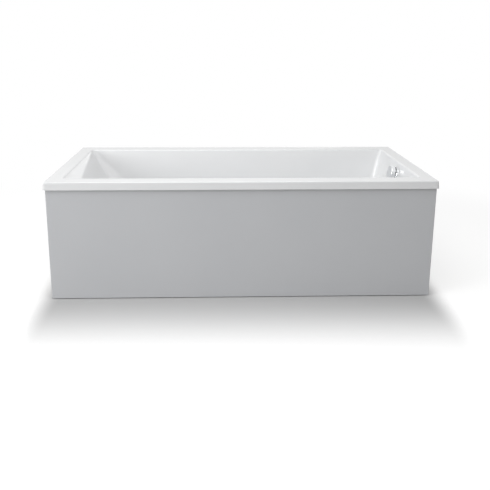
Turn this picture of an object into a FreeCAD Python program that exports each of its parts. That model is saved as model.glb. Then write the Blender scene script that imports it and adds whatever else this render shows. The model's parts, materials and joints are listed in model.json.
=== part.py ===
import FreeCAD, Part
import math
import os

# Alcove bathtub with a flat front panel, 1700 x 750 mm.
# Frame: origin on the floor under the middle of the footprint, +X to the foot
# end with the overflow and the waste, -Y to the front panel, +Z up.
# Millimetres and degrees throughout.

V = FreeCAD.Vector

# ---------------------------------------------------------------- driving dimensions
LENGTH = 1700.0
WIDTH = 750.0
RIM_HEIGHT = 535.0          # floor to the top of the rim
SHEET = 5.0                 # moulded sheet

LIP_HEIGHT = 34.0           # outer lip, turned down from the rim
LIP_DRAFT = 4.0             # the lip's foot stands out this far beyond its top
LIP_EDGE_R = 6.0
LIP_CORNER_R = 12.0

RIM_HEAD = 70.0             # footprint to the basin's mouth, at each side
RIM_FOOT = 65.0
RIM_SIDE = 73.0
ROLL_R = 9.0                # rolled edge where the rim turns into the basin

BASIN_DEPTH = 400.0         # rim top to the floor at the drain
BACKREST_ANGLE = 33.5       # walls, from the vertical
FOOT_ANGLE = 11.0
SIDE_ANGLE = 8.0
FLOOR_SLOPE = 0.42          # the floor falls to the foot end
CORNER_TOP_R = 12.0         # upright corners, tight at the rim and wide at the floor
HEAD_CORNER_R = 135.0
FOOT_CORNER_R = 75.0
FLOOR_R = 60.0              # floor to wall

DRAIN_FROM_FOOT = 250.0     # footprint's foot end to the drain's axis
DRAIN_HOLE_R = 26.0
DRAIN_SEAT_R = 38.0         # recess that takes the drain flange
DRAIN_SEAT_DEPTH = 3.0
DRAIN_BOSS_R = 50.0

OVERFLOW_DROP = 62.0        # rim top to the overflow's axis on the foot wall
OVERFLOW_HOLE_R = 26.0

BATTEN = 15.0               # chipboard strips under the rim
BATTEN_GAP = 5.0            # strips stand this clear of sheet and panel
BOARD = 18.0                # board bonded under the floor
BOARD_HEAD_INSET = 420.0    # footprint's head end to the board
BOARD_DRAIN_GAP = 30.0      # board to the waste body's collar
BOARD_WIDTH = 370.0

PANEL_INSET = 9.0           # panel face behind the lip's foot, on three sides
PANEL_SHEET = 4.0
PANEL_DEPTH = 24.0          # tray depth with its returned edges
PANEL_GAP = 4.0             # shadow gap between panel and floor
PANEL_TUCK = 21.0           # panel rises this far behind the lip
PANEL_EDGE_R = 3.0
STIFFENER = 42.0            # height of the two strips glued into the panel

RAIL_INSET = 100.0          # board's ends to the rails' middles
RAIL_WIDTH = 40.0
RAIL_HEIGHT = 30.0
RAIL_SHEET = 2.0
RAIL_END_GAP = 32.0         # rails' ends to the plane of the panel's back

FOOT_INSET = 45.0           # rails' ends to the levelling feet
STUD_R = 5.0
STUD_CHAMFER = 1.0
STUD_RISE = 40.0            # stud above the rail's web
PAD_R = 25.0
PAD_THICK = 10.0
PAD_CHAMFER = 3.0
PAD_NECK_R = 10.0
PAD_NECK = 12.0
PAD_SOCKET = 14.0           # depth the stud goes into its pad
NUT_FLATS = 17.0
NUT_HEIGHT = 8.0

SCREW_R = 2.5
SCREW_HEAD_R = 5.0
SCREW_HEAD = 3.0
SCREW_BITE = 12.0           # length of thread in the wood

CLIP_INSET = 290.0          # footprint's ends to the outer clips
CLIP_WIDTH = 40.0
CLIP_DROP = 35.0
STRAP = 2.0                 # sheet of clips, brackets and wall anchors

ANCHOR_INSET = 350.0        # footprint's ends to the back wall anchors
ANCHOR_WIDTH = 40.0
ANCHOR_LEG = 60.0
ANCHOR_STEP = 12.0          # from the wall to the leg inside the lip
ANCHOR_UP = 18.0
ANCHOR_HOLE_R = 2.75
ANCHOR_HOLE_PITCH = 25.0
ANCHOR_FOOT_Y = 150.0

RUNNING = 0.05              # radial clearance of turning and sliding fits
JOINT_GAP = 0.3             # radial clearance of screwed and pushed joints
PASS_HOLE = 0.5             # radial clearance of plain holes for screws and studs

KNOB_R = 36.0
KNOB_FRONT = 31.0           # knob's face, out from the wall
KNOB_DEPTH = 19.0
KNOB_WALL = 3.0
KNOB_HUB_R = 9.0
KNOB_EDGE_R = 2.5
FLANGE_R = 36.0
FLANGE_THICK = 5.0
FLANGE_CHAMFER = 1.5
SEAL = 1.0
SEAL_R = 35.0
GASKET = 3.0
SPINDLE_R = 5.0
SLEEVE_R = 25.0             # threaded sleeve of either flange
SLEEVE_WALL = 2.5
SPOKES = 3
SPOKE = 4.0
SPOKE_BITE = 1.0            # spokes run this far into the sleeve's wall
CUP_R = 32.0                # overflow body
CUP_WALL = 4.0
CUP_DEPTH = 44.0
CUP_COLLAR = 10.0
COLLAR_R = 38.0
PIPE_R = 16.0               # overflow pipe
PIPE_WALL = 2.0
PIPE_BEND_R = 55.0
SOCKET_WALL = 3.5
SOCKET_LENGTH = 34.0
SOCKET_GRIP = 22.0          # length of pipe inside a socket
SLIP_NUT_WALL = 4.5
SLIP_NUT_LENGTH = 20.0
DRUM_WIDTH = 6.0
DRUM_LIP = 2.5              # drum's cheeks beyond its groove
DRUM_CHEEK = 1.5
DRUM_ROOM = 3.0             # drum's groove to the covers before and behind it
DRUM_COVER_R = 18.0
DRUM_COVER_WALL = 3.0

KNOB_TURN = 90.0            # knob's travel
PLUG_LIFT = 12.0
LEVER_ARM = 20.0
CRANK_ARM = 18.0
LEVER_R = 3.0               # spindle, and the finger's ball end
LEVER_ARM_R = 2.2
LIFT_GAP = 0.6              # lever tip to the stem's end
LEVER_END_GAP = 1.0         # spindle's end to the bottom of its bearing

BODY_R = 34.0               # waste body
BODY_WALL = 3.0
BODY_COLLAR_R = 40.0
BODY_COLLAR = 5.0
BODY_MOUTH = 11.0
BODY_DEPTH = 48.5
SPIGOT_R = 20.0
SPIGOT_WALL = 2.5
SPIGOT_LENGTH = 18.0
SIDE_INLET_RISE = 21.0      # overflow inlet above the waste body's foot
PIVOT_RISE = 18.0           # lever's axis above the waste body's foot
STEM_R = 4.0
STEM_TAPER = 2.5
PLUG_R = 33.0
PLUG_THICK = 5.0
PLUG_DOME = 2.0             # height of the cone round the flat top
PLUG_FLAT_R = 20.0
PLUG_CHAMFER = 1.0
PLUG_SEAL = 5.0
SEAL_CHAMFER = 1.5
WASTE_SLEEVE_R = 24.0
WASTE_HUB_WALL = 3.0

TRAP_R = 45.0
TRAP_WALL = 3.0
TRAP_HEIGHT = 48.0
TRAP_COLLAR = 12.0
TRAP_CHAMFER = 2.0
TRAP_DIP = 36.0             # dip tube that makes the water seal
TRAP_CAP_R = 30.0
TRAP_CAP = 5.0
OUTLET_R = 20.0             # outlet pipe, 40 mm outside
OUTLET_WALL = 1.8
OUTLET_WALL_GAP = 45.0      # pipe's end to the back of the footprint
OUTLET_FREE = 60.0          # plain spigot beyond the stop bead
OUTLET_BEAD = 4.0
OUTLET_BEAD_RISE = 2.0

CABLE_R = 2.5
CABLE_BEND_SHARE = 0.45     # most of a run that the arc at its end takes up
CABLE_SHARES = (            # the route's points, as shares of the way between its two glands
    (0.04, 0.12, 0.145),
    (0.11, 0.31, 0.29),
    (0.18, 0.54, 0.44),
    (0.24, 0.76, 0.59),
    (0.32, 0.92, 0.73),
    (0.44, 1.04, 0.87),
    (0.66, 1.06, 0.97),
)
GLAND_WALL = 2.0
GLAND_LENGTH = 12.0

# ---------------------------------------------------------------- derived places
HEAD_X = -LENGTH / 2
FOOT_X = LENGTH / 2
FRONT_Y = -WIDTH / 2
BACK_Y = WIDTH / 2
MOUTH = (HEAD_X + RIM_HEAD, FOOT_X - RIM_FOOT, FRONT_Y + RIM_SIDE, BACK_Y - RIM_SIDE)
DRAIN_X = FOOT_X - DRAIN_FROM_FOOT
FLOOR_Z = RIM_HEIGHT - BASIN_DEPTH
UNDER_Z = FLOOR_Z - SHEET
RIM_UNDER_Z = RIM_HEIGHT - SHEET
LIP_FOOT_Z = RIM_HEIGHT - LIP_HEIGHT
BOARD_Z = UNDER_Z - BOARD
BOARD_HEAD_X = HEAD_X + BOARD_HEAD_INSET
BOARD_FOOT_X = DRAIN_X - BODY_COLLAR_R - BOARD_DRAIN_GAP
PANEL_FRONT_Y = FRONT_Y + PANEL_INSET
PANEL_BACK_Y = PANEL_FRONT_Y + PANEL_DEPTH
PANEL_TOP_Z = LIP_FOOT_Z + PANEL_TUCK
RAIL_HEAD_X = BOARD_HEAD_X + RAIL_INSET
RAIL_FOOT_X = BOARD_FOOT_X - RAIL_INSET
RAIL_XS = (RAIL_HEAD_X, RAIL_FOOT_X)
RAIL_LENGTH = -2 * (PANEL_BACK_Y + RAIL_END_GAP)
FOOT_Y = RAIL_LENGTH / 2 - FOOT_INSET
ANCHOR_X = FOOT_X - ANCHOR_INSET
CLIP_X = (HEAD_X + CLIP_INSET, 0, FOOT_X - CLIP_INSET)
OUTLET_END_Y = BACK_Y - OUTLET_WALL_GAP
LEVER_TURN = 2 * math.degrees(math.asin(PLUG_LIFT / 2 / LEVER_ARM))
DRUM_R = CRANK_ARM * LEVER_TURN / KNOB_TURN     # both take up the same length of wire

SEAT_Z = FLOOR_Z - DRAIN_SEAT_DEPTH             # drain recess
BOSS_Z = SEAT_Z - SHEET                         # underside of the drain boss
BODY_TOP_Z = BOSS_Z - GASKET
BODY_FOOT_Z = BODY_TOP_Z - BODY_DEPTH
BODY_IN_R = BODY_R - BODY_WALL
PIVOT_X = DRAIN_X + LEVER_ARM
PIVOT_Z = BODY_FOOT_Z + PIVOT_RISE
STEM_FOOT_Z = PIVOT_Z - PLUG_LIFT / 2 + LEVER_R + LIFT_GAP
FLANGE_TOP_Z = SEAT_Z + SEAL + DRAIN_SEAT_DEPTH
INLET_Z = BODY_FOOT_Z + SIDE_INLET_RISE
SPIGOT_Z = BODY_FOOT_Z - SPIGOT_LENGTH
SOCKET_R = PIPE_R + SOCKET_WALL


# ---------------------------------------------------------------- shape helpers
def run(angle, depth):
    """Sideways distance that a wall at this angle from the vertical gains over depth."""
    return depth * math.tan(math.radians(angle))


def box(x0, x1, y0, y1, z0, z1):
    return Part.makeBox(x1 - x0, y1 - y0, z1 - z0, V(x0, y0, z0))


def rod(radius, start, length, axis=V(0, 0, 1)):
    return Part.makeCylinder(radius, length, start, axis)


def ring(outer, inner, start, length, axis=V(0, 0, 1)):
    return rod(outer, start, length, axis).cut(rod(inner, start, length, axis))


def fuse(shapes):
    whole = shapes[0].multiFuse(shapes[1:])
    return whole.removeSplitter()


def hexagon(flats, height, x, y, z):
    corner_r = flats / math.sqrt(3)
    turns = [math.radians(60 * k) for k in range(7)]
    corners = [V(x + corner_r * math.cos(t), y + corner_r * math.sin(t), z) for t in turns]
    return Part.Face(Part.makePolygon(corners)).extrude(V(0, 0, height))


def prism(outline, thickness_y, centre_y):
    """Plate with an outline in X and Z, as thick as told along Y."""
    points = [V(x, centre_y - thickness_y / 2, z) for x, z in outline]
    return Part.Face(Part.makePolygon(points + points[:1])).extrude(V(0, thickness_y, 0))


def frustum(low, high, low_z, high_z):
    """Solid between two level rectangles, each (x0, x1, y0, y1), with true flat sides."""
    corners = []
    for (x0, x1, y0, y1), z in ((low, low_z), (high, high_z)):
        corners.append([V(x0, y0, z), V(x1, y0, z), V(x1, y1, z), V(x0, y1, z)])
    faces = [Part.Face(Part.makePolygon(level + level[:1])) for level in corners]
    for k in range(4):
        n = (k + 1) % 4
        side = [corners[0][k], corners[0][n], corners[1][n], corners[1][k], corners[0][k]]
        faces.append(Part.Face(Part.makePolygon(side)))
    solid = Part.Solid(Part.Shell(faces))
    if solid.Volume < 0:
        solid.reverse()
    return solid


def route_wire(points, radii):
    """Straight runs joined by tangent arcs, one radius for each inner point."""
    edges = []
    start = points[0]
    for before, corner, after, radius in zip(points, points[1:], points[2:], radii):
        back = (before - corner).normalize()
        ahead = (after - corner).normalize()
        half_turn = (math.pi - back.getAngle(ahead)) / 2
        reach = radius * math.tan(half_turn)
        inward = (back + ahead).normalize()
        middle = corner + inward * (radius / math.cos(half_turn) - radius)
        edges.append(Part.LineSegment(start, corner + back * reach).toShape())
        edges.append(Part.Arc(corner + back * reach, middle, corner + ahead * reach).toShape())
        start = corner + ahead * reach
    edges.append(Part.LineSegment(start, points[-1]).toShape())
    return Part.Wire(edges)


def tube_along(wire, radius):
    first = wire.OrderedEdges[0]
    heading = first.tangentAt(first.FirstParameter)
    circle = Part.makeCircle(radius, wire.OrderedVertexes[0].Point, heading)
    return wire.makePipeShell([Part.Wire(circle)], True, False)


def largest_radii(points):
    """The widest bend at each inner point that leaves room for its neighbours."""
    radii = []
    for before, corner, after in zip(points, points[1:], points[2:]):
        half_turn = (math.pi - (before - corner).getAngle(after - corner)) / 2
        shorter = min(before.distanceToPoint(corner), after.distanceToPoint(corner))
        radii.append(CABLE_BEND_SHARE * shorter / math.tan(half_turn))
    return radii


# ---------------------------------------------------------------- tub shell
def basin(offset, floor_z, slope):
    """The basin's form, grown outwards by offset. Its floor stands at floor_z at the drain."""
    grow = [offset / math.cos(math.radians(a)) for a in (BACKREST_ANGLE, FOOT_ANGLE, SIDE_ANGLE)]
    high = (MOUTH[0] - grow[0], MOUTH[1] + grow[1], MOUTH[2] - grow[2], MOUTH[3] + grow[2])
    low_z = floor_z - FLOOR_R
    depth = RIM_HEIGHT - low_z
    low = (
        high[0] + run(BACKREST_ANGLE, depth),
        high[1] - run(FOOT_ANGLE, depth),
        high[2] + run(SIDE_ANGLE, depth),
        high[3] - run(SIDE_ANGLE, depth),
    )
    form = frustum(low, high, low_z, RIM_HEIGHT)
    head_z = floor_z + math.tan(math.radians(slope)) * (DRAIN_X - HEAD_X)
    foot_z = floor_z - math.tan(math.radians(slope)) * (FOOT_X - DRAIN_X)
    below = [(HEAD_X, head_z), (FOOT_X, foot_z), (FOOT_X, low_z - 1), (HEAD_X, low_z - 1)]
    form = form.cut(prism(below, WIDTH, 0))
    for side_x in (-1, 1):
        floor_corner = (HEAD_CORNER_R if side_x < 0 else FOOT_CORNER_R) + offset
        for side_y in (-1, 1):
            edge = upright_edge(form, side_x, side_y)
            radii = (CORNER_TOP_R + offset, floor_corner)
            if edge.Vertexes[0].Point.z < edge.Vertexes[-1].Point.z:
                radii = radii[::-1]
            form = form.makeFillet(radii[0], radii[1], [edge])
    loop = [e for e in form.Edges if e.BoundBox.ZMax < floor_z + FLOOR_R / 2]
    return form.makeFillet(FLOOR_R + offset, loop)


def upright_edge(form, side_x, side_y):
    for edge in form.Edges:
        middle = edge.CenterOfMass
        upright = edge.BoundBox.ZLength > BASIN_DEPTH / 2
        if upright and middle.x * side_x > 0 and middle.y * side_y > 0:
            return edge


def lip_block(inset):
    """The rim and lip as a solid block, drawn in by inset: drafted sides, rounded top edge."""
    foot_r = LIP_CORNER_R - inset
    top_z = RIM_HEIGHT - inset
    foot = V(foot_r, 0, LIP_FOOT_Z)
    top = V(foot_r - LIP_DRAFT * (top_z - LIP_FOOT_Z) / LIP_HEIGHT, 0, top_z)
    side = route_wire([foot, top, V(0, 0, top_z)], [LIP_EDGE_R - inset])
    closing = Part.makePolygon([V(0, 0, top_z), V(0, 0, LIP_FOOT_Z), foot])
    profile = Part.Face(Part.Wire(side.OrderedEdges + closing.Edges))
    half_x = LENGTH / 2 - LIP_CORNER_R
    half_y = WIDTH / 2 - LIP_CORNER_R
    parts = [box(-half_x, half_x, -half_y, half_y, LIP_FOOT_Z, top_z)]
    corners = ((half_x, half_y, 2 * half_y), (-half_x, half_y, 2 * half_x))
    corners += ((-half_x, -half_y, 2 * half_y), (half_x, -half_y, 2 * half_x))
    for k, (x, y, next_side) in enumerate(corners):
        quarter = profile.revolve(V(0, 0, 0), V(0, 0, 1), 90)
        straight = profile.extrude(V(0, -next_side, 0))
        for part in (quarter, straight):
            part.rotate(V(0, 0, 0), V(0, 0, 1), 90 * k)
            part.translate(V(x, y, 0))
            parts.append(part)
    return fuse(parts)


def wall_place():
    """Frame on the foot wall at the overflow: local Z into the basin, local X up the wall."""
    origin = V(MOUTH[1] - run(FOOT_ANGLE, OVERFLOW_DROP), 0, RIM_HEIGHT - OVERFLOW_DROP)
    return FreeCAD.Placement(origin, FreeCAD.Rotation(V(0, 1, 0), FOOT_ANGLE - 90))


def on_wall(shape):
    placed = shape.copy()
    placed.Placement = wall_place().multiply(placed.Placement)
    return placed


def tub_shell():
    shell = lip_block(0).cut(lip_block(SHEET))
    boss = rod(DRAIN_BOSS_R, V(DRAIN_X, 0, BOSS_Z), FLOOR_Z - BOSS_Z)
    shell = fuse([shell, basin(SHEET, UNDER_Z, 0), boss])
    shell = shell.cut(basin(0, FLOOR_Z, FLOOR_SLOPE))
    mouth = [e for e in shell.Edges if e.BoundBox.ZMin > RIM_HEIGHT - 1 and on_mouth(e)]
    shell = shell.makeFillet(ROLL_R, mouth)
    recess = rod(DRAIN_SEAT_R, V(DRAIN_X, 0, SEAT_Z), FLOOR_R)
    drain = rod(DRAIN_HOLE_R, V(DRAIN_X, 0, BOSS_Z), FLOOR_R)
    overflow = on_wall(rod(OVERFLOW_HOLE_R, V(0, 0, -2 * SHEET), 3 * SHEET))
    return shell.cut(fuse([recess, drain])).cut(overflow)


def on_mouth(edge):
    middle = edge.CenterOfMass
    within_x = MOUTH[0] - 1 < middle.x < MOUTH[1] + 1
    within_y = MOUTH[2] - 1 < middle.y < MOUTH[3] + 1
    return within_x and within_y


# ---------------------------------------------------------------- battens and board
def rim_battens():
    low_z = RIM_UNDER_Z - BATTEN
    head_wall = MOUTH[0] - SHEET - BATTEN_GAP
    foot_wall = MOUTH[1] + SHEET + BATTEN_GAP
    side_wall = MOUTH[3] + SHEET + BATTEN_GAP
    lip_in = SHEET + LIP_DRAFT + BATTEN_GAP
    end_y = MOUTH[3] - BATTEN
    long_x = MOUTH[1] - BATTEN
    back_out = BACK_Y - ANCHOR_STEP - BATTEN_GAP
    front = box(-long_x, long_x, PANEL_BACK_Y + BATTEN_GAP, -side_wall, low_z, RIM_UNDER_Z)
    back = box(-long_x, long_x, side_wall, back_out, low_z, RIM_UNDER_Z)
    head = box(HEAD_X + lip_in + ANCHOR_STEP, head_wall, -end_y, end_y, low_z, RIM_UNDER_Z)
    foot = box(foot_wall, FOOT_X - lip_in - ANCHOR_STEP, -end_y, end_y, low_z, RIM_UNDER_Z)
    return {
        "rim_batten_front": front,
        "rim_batten_back": back,
        "rim_batten_head": head,
        "rim_batten_foot": foot,
    }


def base_board(screws):
    board = box(BOARD_HEAD_X, BOARD_FOOT_X, -BOARD_WIDTH / 2, BOARD_WIDTH / 2, BOARD_Z, UNDER_Z)
    return board.cut(screws)


# ---------------------------------------------------------------- legs
def rail_screw_places():
    inset = BOARD_WIDTH / 2 - RAIL_WIDTH / 2
    return [(x, y) for x in RAIL_XS for y in (-inset, -inset / 3, inset / 3, inset)]


def wood_screw(x, y, z):
    """Screw driven upwards, its head's top face at height z."""
    head = rod(SCREW_HEAD_R, V(x, y, z - SCREW_HEAD), SCREW_HEAD)
    return fuse([head, rod(SCREW_R, V(x, y, z), RAIL_SHEET + SCREW_BITE)])


def leg_rail(x):
    """Pressed channel, open downwards, with holes for the studs and screws."""
    top = BOARD_Z
    inner = RAIL_WIDTH / 2 - RAIL_SHEET
    half = RAIL_LENGTH / 2
    rail = box(x - RAIL_WIDTH / 2, x + RAIL_WIDTH / 2, -half, half, top - RAIL_HEIGHT, top)
    rail = rail.cut(box(x - inner, x + inner, -half, half, top - RAIL_HEIGHT, top - RAIL_SHEET))
    holes = [(STUD_R, y) for y in (-FOOT_Y, FOOT_Y)]
    holes += [(SCREW_R, y) for screw_x, y in rail_screw_places() if screw_x == x]
    holes += [(SCREW_R, bracket_bolt_y())]
    for radius, y in holes:
        rail = rail.cut(rod(radius + PASS_HOLE, V(x, y, top - RAIL_HEIGHT), RAIL_HEIGHT))
    return rail


def lock_nuts():
    nuts = []
    for x in RAIL_XS:
        for y in (-FOOT_Y, FOOT_Y):
            for z in (BOARD_Z, BOARD_Z - RAIL_SHEET - NUT_HEIGHT):
                bore = rod(STUD_R + RUNNING, V(x, y, z), NUT_HEIGHT)
                nuts.append(hexagon(NUT_FLATS, NUT_HEIGHT, x, y, z).cut(bore))
    return Part.makeCompound(nuts)


def foot_stud(x, y):
    low_z = PAD_THICK + PAD_NECK - PAD_SOCKET
    stud = rod(STUD_R, V(x, y, low_z), BOARD_Z + STUD_RISE - low_z)
    top = [e for e in stud.Edges if e.BoundBox.ZMin > BOARD_Z]
    return stud.makeChamfer(STUD_CHAMFER, top)


def foot_pad(x, y):
    disc = rod(PAD_R, V(x, y, 0), PAD_THICK)
    disc = disc.makeChamfer(PAD_CHAMFER, [e for e in disc.Edges if e.BoundBox.ZMin > PAD_THICK - 1])
    neck = rod(PAD_NECK_R, V(x, y, 0), PAD_THICK + PAD_NECK)
    socket = rod(STUD_R, V(x, y, PAD_THICK + PAD_NECK - PAD_SOCKET), PAD_SOCKET)
    return fuse([disc, neck]).cut(socket)


# ---------------------------------------------------------------- front panel
def panel_half():
    return LENGTH / 2 - PANEL_INSET


def front_panel():
    half = panel_half()
    tray = box(-half, half, PANEL_FRONT_Y, PANEL_BACK_Y, PANEL_GAP, PANEL_TOP_Z)
    front_edges = [e for e in tray.Edges if e.BoundBox.YMax < PANEL_FRONT_Y + 1]
    uprights = [e for e in front_edges if e.BoundBox.ZLength > 1]
    tray = tray.makeFillet(PANEL_EDGE_R, uprights)
    inside = half - PANEL_SHEET
    face = PANEL_FRONT_Y + PANEL_SHEET
    low_z = PANEL_GAP + PANEL_SHEET
    return tray.cut(box(-inside, inside, face, PANEL_BACK_Y, low_z, PANEL_TOP_Z - PANEL_SHEET))


def panel_stiffener(low_z):
    inside = panel_half() - PANEL_SHEET
    return box(-inside, inside, PANEL_FRONT_Y + PANEL_SHEET, PANEL_BACK_Y, low_z, low_z + STIFFENER)


def clip_screw_y():
    return PANEL_BACK_Y + BATTEN_GAP + BATTEN


def panel_clips():
    """Spring clips under the front batten that press on the back of the panel."""
    under = RIM_UNDER_Z - BATTEN
    clips = []
    for x in CLIP_X:
        x0, x1 = x - CLIP_WIDTH / 2, x + CLIP_WIDTH / 2
        tongue_y = clip_screw_y() + SCREW_HEAD_R + STRAP
        tongue = box(x0, x1, PANEL_BACK_Y, tongue_y, under - STRAP, under)
        leg = box(x0, x1, PANEL_BACK_Y, PANEL_BACK_Y + STRAP, under - CLIP_DROP, under)
        hole = rod(SCREW_R + PASS_HOLE, V(x, clip_screw_y(), under - STRAP), STRAP)
        clips.append(fuse([tongue, leg]).cut(hole))
    return Part.makeCompound(clips)


def clip_screws():
    z = RIM_UNDER_Z - BATTEN - STRAP
    return Part.makeCompound([wood_screw(x, clip_screw_y(), z) for x in CLIP_X])


def bracket_bolt_y():
    return -(RAIL_LENGTH / 2 - SCREW_HEAD_R - PAD_NECK_R)


def stiffener_screw_z():
    return PANEL_GAP + PANEL_SHEET + STIFFENER / 2


def panel_brackets():
    """Angle straps from the rails' front ends down to the panel's lower strip."""
    straps = []
    for x in RAIL_XS:
        x0, x1 = x - RAIL_WIDTH / 2, x + RAIL_WIDTH / 2
        top_z = BOARD_Z + STRAP
        tongue_y = bracket_bolt_y() + SCREW_HEAD_R + STRAP
        tongue = box(x0, x1, PANEL_BACK_Y, tongue_y, BOARD_Z, top_z)
        leg = box(x0, x1, PANEL_BACK_Y, PANEL_BACK_Y + STRAP, PANEL_GAP + PANEL_SHEET, top_z)
        bolt_hole = rod(SCREW_R + PASS_HOLE, V(x, bracket_bolt_y(), BOARD_Z), STRAP)
        screw_at = V(x, PANEL_BACK_Y, stiffener_screw_z())
        screw_hole = rod(SCREW_R + PASS_HOLE, screw_at, STRAP, V(0, 1, 0))
        straps.append(fuse([tongue, leg]).cut(bolt_hole).cut(screw_hole))
    return Part.makeCompound(straps)


def bracket_screws():
    """Two bolts through the rails and two screws into the panel's lower strip."""
    screws = []
    for x in RAIL_XS:
        low_z = BOARD_Z - RAIL_SHEET - SCREW_HEAD_R
        shank = rod(SCREW_R, V(x, bracket_bolt_y(), low_z), SCREW_HEAD_R + 2 * STRAP)
        head = rod(SCREW_HEAD_R, V(x, bracket_bolt_y(), BOARD_Z + STRAP), SCREW_HEAD)
        screws.append(fuse([shank, head]))
        back = PANEL_BACK_Y + STRAP
        thread = rod(SCREW_R, V(x, back, stiffener_screw_z()), STRAP + SCREW_BITE, V(0, -1, 0))
        head = rod(SCREW_HEAD_R, V(x, back, stiffener_screw_z()), SCREW_HEAD, V(0, 1, 0))
        screws.append(fuse([thread, head]))
    return Part.makeCompound(screws)


# ---------------------------------------------------------------- wall anchors
def wall_anchor():
    """Hook for the back wall at the origin's X: plate on the wall, leg up inside the lip."""
    half = ANCHOR_WIDTH / 2
    step_z = LIP_FOOT_Z - JOINT_GAP
    plate = box(-half, half, -STRAP, 0, step_z - ANCHOR_LEG, step_z)
    step = box(-half, half, -ANCHOR_STEP, 0, step_z - STRAP, step_z)
    leg = box(-half, half, -ANCHOR_STEP, STRAP - ANCHOR_STEP, step_z - STRAP, step_z + ANCHOR_UP)
    anchor = fuse([plate, step, leg])
    for k in (-1, 1):
        z = step_z - ANCHOR_LEG / 2 + k * ANCHOR_HOLE_PITCH / 2
        anchor = anchor.cut(rod(ANCHOR_HOLE_R, V(0, -STRAP, z), STRAP, V(0, 1, 0)))
    return anchor


def wall_anchors():
    """Each anchor as (x, y, turn about the vertical)."""
    places = [(-ANCHOR_X, BACK_Y, 0), (ANCHOR_X, BACK_Y, 0)]
    places += [(HEAD_X, 0, 90), (FOOT_X, ANCHOR_FOOT_Y, -90)]
    anchors = []
    for x, y, turn in places:
        anchor = wall_anchor()
        anchor.Placement = FreeCAD.Placement(V(x, y, 0), FreeCAD.Rotation(V(0, 0, 1), turn))
        anchors.append(anchor)
    return Part.makeCompound(anchors)


# ---------------------------------------------------------------- overflow, in the foot wall's frame
DRY = -SHEET                                # dry side of the foot wall
CUP_FRONT = DRY - GASKET
CUP_BACK = CUP_FRONT - CUP_DEPTH
PIPE_S = CUP_FRONT - CUP_DEPTH / 2          # pipe's axis behind the wall
DRUM_S = CUP_BACK - DRUM_ROOM - DRUM_WIDTH
COVER_BACK = DRUM_S - DRUM_ROOM - DRUM_COVER_WALL
DOWN = V(-1, 0, 0)


def spider(low, thick, reach, hub_r, bore_r, hub_low, hub_high):
    """Spokes that carry a bored hub inside a sleeve."""
    parts = [rod(hub_r, V(0, 0, hub_low), hub_high - hub_low)]
    for k in range(SPOKES):
        spoke = box(0, reach, -SPOKE / 2, SPOKE / 2, low, low + thick)
        spoke.rotate(V(0, 0, 0), V(0, 0, 1), (k + 0.5) * 360 / SPOKES)
        parts.append(spoke)
    return fuse(parts).cut(rod(bore_r, V(0, 0, hub_low), hub_high - hub_low))


def overflow_flange():
    front = SEAL + FLANGE_THICK
    plate = ring(FLANGE_R, SLEEVE_R - SLEEVE_WALL, V(0, 0, SEAL), FLANGE_THICK)
    rim = [e for e in plate.Edges if e.BoundBox.ZMin > front - 0.1 and e.BoundBox.XMax > FLANGE_R - 1]
    plate = plate.makeChamfer(FLANGE_CHAMFER, rim)
    inner = SLEEVE_R - SLEEVE_WALL
    low = CUP_FRONT - CUP_COLLAR / 2
    sleeve = ring(SLEEVE_R, inner, V(0, 0, low), front - low)
    reach = inner + SPOKE_BITE
    bore_r = SPINDLE_R + RUNNING
    cross = spider(CUP_FRONT, SPOKE, reach, KNOB_HUB_R, bore_r, CUP_FRONT, front)
    return on_wall(fuse([plate, sleeve, cross]))


def overflow_body():
    inner = CUP_R - CUP_WALL
    collar = rod(COLLAR_R, V(0, 0, CUP_FRONT - CUP_WALL), CUP_WALL)
    cup = rod(CUP_R, V(0, 0, CUP_BACK), CUP_DEPTH)
    socket = rod(SOCKET_R, V(0, 0, PIPE_S), CUP_R + SOCKET_LENGTH, DOWN)
    body = fuse([collar, cup, socket])
    room = rod(inner, V(0, 0, CUP_BACK + CUP_WALL), CUP_DEPTH - CUP_WALL - CUP_COLLAR)
    mouth = rod(SLEEVE_R + JOINT_GAP, V(0, 0, CUP_FRONT - CUP_COLLAR), CUP_COLLAR)
    bore = rod(SPINDLE_R + RUNNING, V(0, 0, CUP_BACK), CUP_WALL)
    outlet = rod(PIPE_R - PIPE_WALL, V(0, 0, PIPE_S), CUP_R + SOCKET_LENGTH, DOWN)
    stop = CUP_R + SOCKET_LENGTH - SOCKET_GRIP
    socket_bore = rod(PIPE_R, V(-stop, 0, PIPE_S), SOCKET_GRIP, DOWN)
    for space in (room, mouth, bore, outlet, socket_bore):
        body = body.cut(space)
    return on_wall(body)


def overflow_spindle():
    """Spindle with the cable drum on its dry end, as one turned piece."""
    cheek_r = DRUM_R + DRUM_LIP
    front = DRUM_S + DRUM_WIDTH
    outline = [
        (0, DRUM_S - DRUM_CHEEK),
        (cheek_r, DRUM_S - DRUM_CHEEK),
        (cheek_r, DRUM_S),
        (DRUM_R, DRUM_S),
        (DRUM_R, front),
        (cheek_r, front),
        (cheek_r, front + DRUM_CHEEK),
        (SPINDLE_R, front + DRUM_CHEEK),
        (SPINDLE_R, KNOB_FRONT - 2 * KNOB_WALL),
        (0, KNOB_FRONT - 2 * KNOB_WALL),
    ]
    face = Part.Face(Part.makePolygon([V(r, 0, s) for r, s in outline + outline[:1]]))
    return on_wall(face.revolve(V(0, 0, 0), V(0, 0, 1), 360))


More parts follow.
